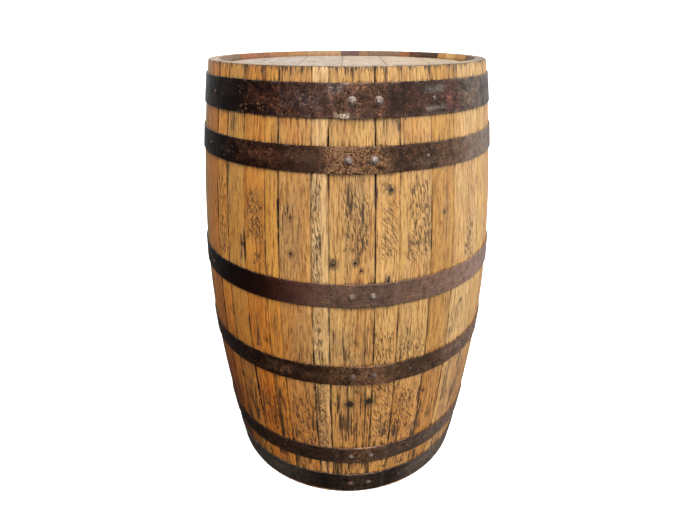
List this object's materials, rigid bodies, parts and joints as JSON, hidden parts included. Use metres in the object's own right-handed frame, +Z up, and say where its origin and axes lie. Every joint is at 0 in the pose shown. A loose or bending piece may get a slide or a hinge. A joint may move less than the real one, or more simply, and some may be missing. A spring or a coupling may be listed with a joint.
{
  "type": "oak wine barrel",
  "caption": "Upright oak barrel: bellied staves bound by riveted steel hoops, a sunk flat head at each end, and a bung that pulls out of the side.",
  "frame": {"origin": "middle of the foot, on the plane that the barrel stands on", "axes": "+Z up along the barrel's axis, from the foot to the top rim; -Y towards the hoops' riveted laps, which is the front; +X to the right seen from the front; the bung is on the far side, 21.5 degrees from +Y towards +X"},
  "size_m": [0.6198, 0.6271, 0.889],
  "materials": {
    "stave_oak": "varnished, weathered grain",
    "head_oak": "weathered, worn pale",
    "dowel_wood": "plain",
    "bung_wood": "turned, plain",
    "hoop_steel": "dark, lacquered over rust",
    "rivet_steel": "peened, worn",
    "screw_steel": "worn"
  },
  "bodies": {
    "barrel": {"bottom_bilge_hoop": "hoop_steel", "bottom_head_board_1": "head_oak", "bottom_head_board_2": "head_oak", "bottom_head_board_3": "head_oak", "bottom_head_board_4": "head_oak", "bottom_head_board_5": "head_oak", "bottom_head_board_6": "head_oak", "bottom_head_dowels": "dowel_wood", "bottom_head_hoop": "hoop_steel", "bottom_quarter_hoop": "hoop_steel", "bung_stave": "stave_oak", "hoop_rivets": "rivet_steel", "hoop_screws": "screw_steel", "stave_01": "stave_oak", "stave_02": "stave_oak", "stave_03": "stave_oak", "stave_04": "stave_oak", "stave_05": "stave_oak", "stave_06": "stave_oak", "stave_07": "stave_oak", "stave_08": "stave_oak", "stave_09": "stave_oak", "stave_10": "stave_oak", "stave_11": "stave_oak", "stave_12": "stave_oak", "stave_13": "stave_oak", "stave_14": "stave_oak", "stave_15": "stave_oak", "stave_16": "stave_oak", "stave_17": "stave_oak", "stave_18": "stave_oak", "stave_19": "stave_oak", "stave_20": "stave_oak", "stave_21": "stave_oak", "stave_22": "stave_oak", "stave_24": "stave_oak", "stave_25": "stave_oak", "stave_26": "stave_oak", "stave_27": "stave_oak", "stave_28": "stave_oak", "stave_29": "stave_oak", "stave_30": "stave_oak", "stave_31": "stave_oak", "stave_32": "stave_oak", "stave_33": "stave_oak", "stave_34": "stave_oak", "stave_35": "stave_oak", "stave_36": "stave_oak", "top_bilge_hoop": "hoop_steel", "top_head_board_1": "head_oak", "top_head_board_2": "head_oak", "top_head_board_3": "head_oak", "top_head_board_4": "head_oak", "top_head_board_5": "head_oak", "top_head_board_6": "head_oak", "top_head_dowels": "dowel_wood", "top_head_hoop": "hoop_steel", "top_quarter_hoop": "hoop_steel"},
    "bung": {"bung": "bung_wood"}
  },
  "joints": [
    {"name": "bung_pull", "type": "slide", "parent": "barrel", "child": "bung", "axis": [0.3665, 0.9304, 0], "range_m": [0, 0.06]}
  ]
}
